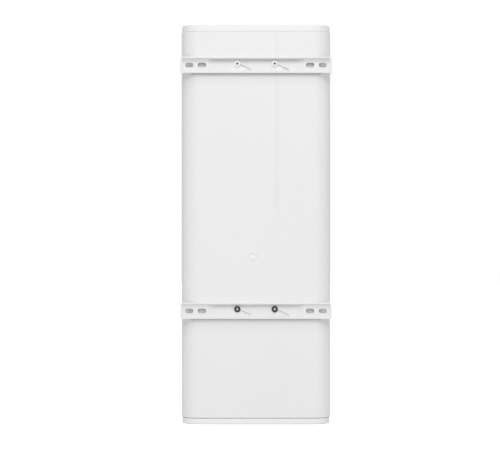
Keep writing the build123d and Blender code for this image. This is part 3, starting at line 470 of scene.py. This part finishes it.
def pan_head(bm, seat):
    rings = [lobed_ring(bm, seat, *ring) for ring in HEAD_RINGS]
    for first, second in zip(rings, rings[1:]):
        bridge(bm, first, second)
    bm.faces.new(reversed(rings[0]))
    floor = bm.verts.new(seat - Vector((0, HEAD_FLOOR * MM, 0)))
    last = rings[-1]
    for number in range(HEAD_SEGMENTS):
        bm.faces.new((last[number], last[(number + 1) % HEAD_SEGMENTS], floor))


def finish_mesh(name, bm, smooth_degrees=35):
    """Turn a bmesh into an object at the origin, smooth over gentle angles."""
    bmesh.ops.recalc_face_normals(bm, faces=bm.faces)
    mesh = bpy.data.meshes.new(name)
    bm.to_mesh(mesh)
    bm.free()
    mesh.shade_smooth()
    mesh.set_sharp_from_angle(angle=math.radians(smooth_degrees))
    piece = bpy.data.objects.new(name, mesh)
    bpy.context.scene.collection.objects.link(piece)
    return piece


def add_bracket_screws(materials):
    """Pan heads with lobed recesses in place of the plain bracket screws."""
    # The heads carry painted highlight and reflection rings, not real reflections.
    for node, finish in zip(BRACKET_SCREWS, ("screw_painted_highlight", "screw_zinc")):
        low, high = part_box(node)
        bm = bmesh.new()
        for x in (-SCREW_X, SCREW_X):
            pan_head(bm, Vector((x, low.y + HEAD_HEIGHT * MM, (low.z + high.z) / 2)))
        piece = finish_mesh(node + "_detail", bm)
        piece.data.materials.append(materials[finish])
        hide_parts(node)
        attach(piece, "unit")


def dress_nodes(materials):
    """Every CAD node gets the finish of its record slot."""
    for part in frame["record"]["subparts"]:
        node = frame["nodes"][part["node"]]
        node.data.materials.clear()
        node.data.materials.append(materials[part["material_slot"]])


# ------------------------------------------------------------------ camera, light
def look_at(obj, target):
    direction = Vector(target) - obj.location
    obj.rotation_euler = direction.to_track_quat("-Z", "Y").to_euler()


def add_camera():
    low, high = (Vector(corner) for corner in CAD_BOX)
    camera = bpy.data.cameras.new("camera")
    camera.sensor_width = 36.0
    camera.lens = camera.sensor_width * CAMERA_DISTANCE / VIEW_WIDTH
    camera.clip_end = 50.0
    holder = bpy.data.objects.new("camera", camera)
    bpy.context.scene.collection.objects.link(holder)
    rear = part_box("casing_tube")[0].y
    middle_z = (low.z + high.z) / 2
    holder.location = (VIEW_SHIFT[0], rear - CAMERA_DISTANCE, middle_z + VIEW_SHIFT[1])
    holder.rotation_euler = (math.radians(90), 0, 0)
    bpy.context.scene.camera = holder


def add_area(name, location, target, size, power):
    lamp = bpy.data.lights.new(name, "AREA")
    lamp.shape = "RECTANGLE"
    lamp.size, lamp.size_y = size
    lamp.energy = power
    holder = bpy.data.objects.new(name, lamp)
    bpy.context.scene.collection.objects.link(holder)
    holder.location = location
    look_at(holder, target)


def from_direction(middle, azimuth, elevation, distance):
    """A place seen from the middle at an azimuth (0 is the wall side) and elevation."""
    turn, rise = math.radians(azimuth), math.radians(elevation)
    flat = distance * math.cos(rise)
    return middle + Vector((flat * math.sin(turn), -flat * math.cos(turn), distance * math.sin(rise)))


def add_lights():
    middle = (Vector(CAD_BOX[0]) + Vector(CAD_BOX[1])) / 2
    for name, (azimuth, elevation, distance, size, power) in LAMPS.items():
        place = from_direction(middle, azimuth, elevation, distance)
        add_area(name, place, middle, size, power)


def camera_only(tree, seen, otherwise):
    """A number that is one value to the camera and another as light on the object."""
    path = tree.nodes.new("ShaderNodeLightPath")
    spread = tree.nodes.new("ShaderNodeMix")
    tree.links.new(path.outputs["Is Camera Ray"], spread.inputs[0])
    for socket, value in ((spread.inputs[2], otherwise), (spread.inputs[3], seen)):
        if isinstance(value, bpy.types.NodeSocket):
            tree.links.new(value, socket)
        else:
            socket.default_value = value
    return spread.outputs[0]


def sky_strength(tree):
    """Light from the room: SKY_SIDES from the left and right, SKY_AHEAD from ahead."""
    way = tree.nodes.new("ShaderNodeTexCoord")
    parts = tree.nodes.new("ShaderNodeSeparateXYZ")
    tree.links.new(way.outputs["Generated"], parts.inputs[0])
    side = tree.nodes.new("ShaderNodeMath")
    side.operation = "ABSOLUTE"
    tree.links.new(parts.outputs["X"], side.inputs[0])
    fade = tree.nodes.new("ShaderNodeMapRange")
    fade.inputs["To Min"].default_value = SKY_AHEAD
    fade.inputs["To Max"].default_value = SKY_SIDES
    tree.links.new(side.outputs[0], fade.inputs["Value"])
    return fade.outputs["Result"]


def add_world():
    """White to the camera, dimmer as a light, so that edges keep some shade."""
    world = bpy.data.worlds.new("world")
    bpy.context.scene.world = world
    world.use_nodes = True
    background = world.node_tree.nodes["Background"]
    background.inputs["Color"].default_value = (1, 1, 1, 1)
    strength = camera_only(world.node_tree, 1.0, sky_strength(world.node_tree))
    world.node_tree.links.new(strength, background.inputs["Strength"])
    bpy.context.scene.view_settings.view_transform = "Standard"


def add_floor():
    """A pale floor under the unit, bright to the camera like a light table."""
    mesh = bpy.data.meshes.new("floor")
    size = FLOOR_HALF_SIZE
    height = CAD_BOX[0][2] - FLOOR_GAP
    corners = [(-size, -size), (size, -size), (size, size), (-size, size)]
    mesh.from_pydata([(x, y, height) for x, y in corners], [], [(0, 1, 2, 3)])
    floor = bpy.data.objects.new("floor", mesh)
    bpy.context.scene.collection.objects.link(floor)
    m = Shader("floor_pale", roughness=0.9, Emission_Color=(1, 1, 1, 1))
    m.colour(m.ramp(m.noise(3.0), 0.42, 0.45))
    glow = camera_only(m.material.node_tree, 1.0, FLOOR_GLOW)
    m.join(glow, m.surface.inputs["Emission Strength"])
    mesh.materials.append(m.material)


def main():
    materials = make_materials()
    dress_nodes(materials)
    add_bracket_screws(materials)
    add_camera()
    add_lights()
    add_world()
    add_floor()


main()
